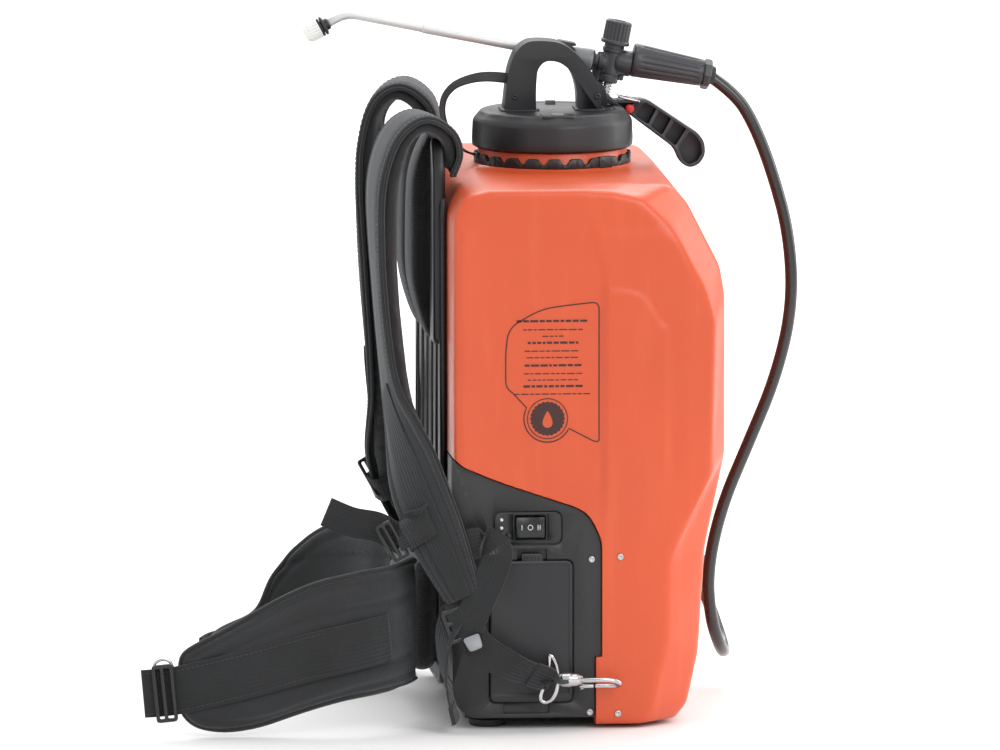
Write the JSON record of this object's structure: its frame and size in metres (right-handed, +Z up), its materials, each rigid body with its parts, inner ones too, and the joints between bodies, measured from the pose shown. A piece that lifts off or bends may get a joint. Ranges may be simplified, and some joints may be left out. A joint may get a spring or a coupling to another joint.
{
  "type": "backpack sprayer",
  "caption": "Battery-driven knapsack sprayer: orange tank on a dark base, padded harness, and a spray gun with its lance clipped to the lid handle.",
  "frame": {"origin": "on the floor below the middle of the sprayer's bounding box, hose left out", "axes": "+Z up; +X away from the wearer's back; -Y the wearer's left, where the battery door and the switch are"},
  "size_m": [0.5403, 0.4004, 0.552],
  "materials": {
    "tank_orange": "satin blow-moulded polyethylene, dyed orange-red",
    "strainer_white": "matt",
    "base_grey": "fine moulded texture, dark grey",
    "door_grey": "fine moulded texture, dark grey",
    "lid_grey": "matt, dark grey",
    "gun_grey": "satin, dark grey",
    "nozzle_white": "satin, white",
    "nut_grey": "satin, light grey",
    "black_plastic": "satin, black",
    "buckle_black": "semi-gloss, black",
    "rocker_black": "semi-gloss, black",
    "lamp_lens": "clear-coated",
    "board_green": "lacquered board",
    "lock_red": "glossy, red",
    "foot_rubber": "matt",
    "black_rubber": "matt",
    "hose_black": "glossy, black",
    "steel": "brushed",
    "hook_chrome": "bright chrome plating",
    "lance_metal": "satin",
    "pad_fabric": "woven polyester over foam, black",
    "webbing_black": "woven webbing, black"
  },
  "bodies": {
    "tank_and_harness": {"tank": "tank_orange", "strainer_basket": "strainer_white", "tether_ring": "black_plastic", "tether_strap": "black_rubber", "base_housing": "base_grey", "base_plate": "base_grey", "rubber_feet": "foot_rubber", "battery_pack": "black_plastic", "switch_bezel": "black_plastic", "status_leds": "lamp_lens", "circuit_board": "board_green", "pump_motor": "steel", "pump_head": "black_plastic", "pump_cradle": "base_grey", "outlet_screen": "strainer_white", "inner_hoses": "black_rubber", "outlet_elbow": "black_plastic", "outlet_nut": "black_plastic", "spray_hose": "hose_black", "backrest_plate": "black_plastic", "back_pads": "pad_fabric", "lumbar_pad": "pad_fabric", "shoulder_pad_left": "pad_fabric", "shoulder_pad_right": "pad_fabric", "ladder_locks": "buckle_black", "lower_webbing": "webbing_black", "snap_hooks": "hook_chrome", "hip_wing_left": "pad_fabric", "hip_wing_right": "pad_fabric", "belt_webbing": "webbing_black", "belt_slider": "buckle_black", "case_screws": "hook_chrome"},
    "door": {"battery_door": "door_grey"},
    "rocker": {"rocker_switch": "rocker_black"},
    "button": {"test_button": "door_grey"},
    "pump_rotor": {"pump_shaft": "steel"},
    "lid_and_gun": {"lid": "lid_grey", "lid_gasket": "black_rubber", "lid_vent": "black_plastic", "lid_handle": "lid_grey", "handle_screws": "steel", "lance_clip": "lid_grey", "gun_body": "gun_grey", "gun_grip": "gun_grey", "grip_collar": "gun_grey", "gun_seals": "black_rubber", "lance_tube": "lance_metal", "nozzle_seat": "black_plastic", "lever_pin": "steel", "valve_spring": "steel"},
    "cap_of_valve": {"valve_cap": "gun_grey"},
    "stem": {"valve_stem": "steel"},
    "nut_of_lance": {"collar_nut": "nut_grey"},
    "cap_of_nozzle": {"nozzle_cap": "nozzle_white"},
    "lever": {"trigger_lever": "gun_grey"},
    "lock_slider": {"lock_button": "lock_red"},
    "lock_bail": {"lock_wire": "hook_chrome"},
    "gate_left": {"snap_gate_left": "hook_chrome"},
    "gate_right": {"snap_gate_right": "hook_chrome"}
  },
  "joints": [
    {"name": "lid_lift", "type": "slide", "parent": "tank_and_harness", "child": "lid_and_gun", "axis": [0, 0, 1], "range_m": [0, 0.04], "deforming": ["spray_hose", "tether_strap"]},
    {"name": "door_swing", "type": "hinge", "parent": "tank_and_harness", "child": "door", "pos_m": [0.0745, -0.1645, 0.025], "axis": [1, 0, 0], "range_deg": [0, 12]},
    {"name": "rocker_tilt", "type": "hinge", "parent": "tank_and_harness", "child": "rocker", "pos_m": [0.0737, -0.1645, 0.161], "axis": [0, 0, 1], "range_deg": [-8, 8]},
    {"name": "test_button_press", "type": "slide", "parent": "tank_and_harness", "child": "button", "axis": [0, 1, 0], "range_m": [0, 0.0008], "stiffness_N_per_m": 200, "springref_m": -0.0005},
    {"name": "pump_spin", "type": "hinge", "parent": "tank_and_harness", "child": "pump_rotor", "pos_m": [0.165, 0, 0.06], "axis": [0, 1, 0], "continuous": true},
    {"name": "trigger_squeeze", "type": "hinge", "parent": "lid_and_gun", "child": "lever", "pos_m": [0.14038, 0.026, 0.48905], "axis": [0, -1, 0], "range_deg": [0, 14], "stiffness_Nm_per_rad": 0.2, "springref_deg": -17.19},
    {"name": "valve_stroke", "type": "slide", "parent": "lid_and_gun", "child": "stem", "axis": [0.1959, 0, 0.9806], "range_m": [0, 0.0033], "deforming": ["valve_spring"]},
    {"name": "valve_cap_turn", "type": "hinge", "parent": "lid_and_gun", "child": "cap_of_valve", "pos_m": [0.1552, 0.026, 0.5076], "axis": [0.1959, 0, 0.9806], "continuous": true},
    {"name": "collar_nut_turn", "type": "hinge", "parent": "lid_and_gun", "child": "nut_of_lance", "pos_m": [0.1552, 0.026, 0.5076], "axis": [0.9806, 0, -0.1959], "continuous": true},
    {"name": "nozzle_cap_turn", "type": "hinge", "parent": "lid_and_gun", "child": "cap_of_nozzle", "pos_m": [-0.0809, 0.026, 0.53646], "axis": [-0.878, 0, -0.4787], "continuous": true},
    {"name": "lock_button_push", "type": "slide", "parent": "lever", "child": "lock_slider", "axis": [0, 1, 0], "range_m": [0, 0.003]},
    {"name": "lock_wire_swing", "type": "hinge", "parent": "lever", "child": "lock_bail", "pos_m": [0.17638, 0.026, 0.47845], "axis": [0, 1, 0], "range_deg": [0, 20]},
    {"name": "snap_gate_left_swing", "type": "hinge", "parent": "tank_and_harness", "child": "gate_left", "pos_m": [0.1132, -0.176, 0.035], "axis": [0, 0, -1], "range_deg": [0, 20], "stiffness_Nm_per_rad": 0.01, "springref_deg": -17.19},
    {"name": "snap_gate_right_swing", "type": "hinge", "parent": "tank_and_harness", "child": "gate_right", "pos_m": [0.1132, 0.176, 0.035], "axis": [0, 0, 1], "range_deg": [0, 20], "stiffness_Nm_per_rad": 0.01, "springref_deg": -17.19}
  ],
  "couplings": [
    {"joint": "valve_stroke", "follows": "trigger_squeeze", "m_per_rad": 0.013}
  ]
}
